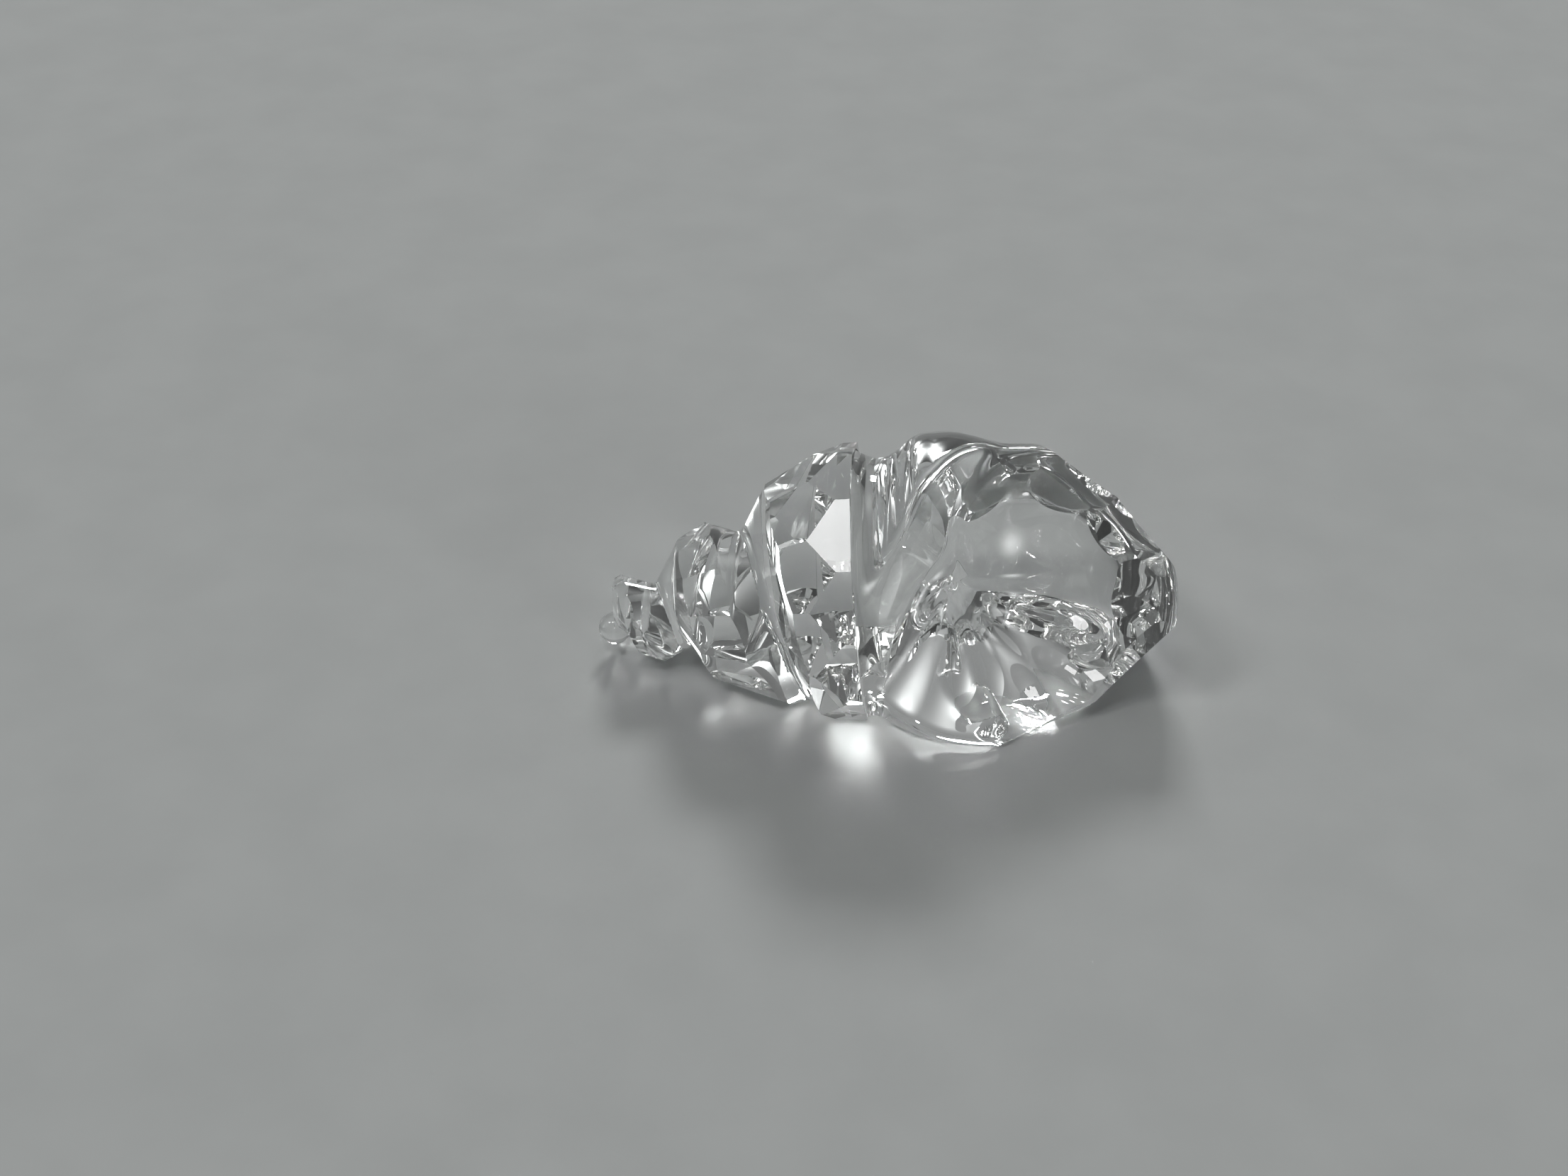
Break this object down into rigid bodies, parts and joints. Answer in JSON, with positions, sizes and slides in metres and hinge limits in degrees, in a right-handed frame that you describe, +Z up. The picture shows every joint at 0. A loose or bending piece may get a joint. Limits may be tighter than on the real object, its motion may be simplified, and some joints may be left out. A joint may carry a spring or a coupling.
{
  "type": "crystal snail shell ornament",
  "caption": "Cut crystal sea snail shell lying on its ground underside: a faceted spire with a spiral suture groove, bonded to a rounded body whorl with a fluted open mouth.",
  "frame": {"origin": "on the table, straight below the centre of the bonded seam between the spire and the body whorl", "axes": "+X from the spire to the mouth end, +Z up from the table, and the mouth opens towards -Y and up"},
  "size_m": [0.0451, 0.023, 0.0192],
  "materials": {
    "crystal": "polished",
    "adhesive": "clear"
  },
  "bodies": {
    "root": {"spire_crystal": "crystal", "body_crystal": "crystal", "bond_film": "adhesive"}
  },
  "joints": []
}
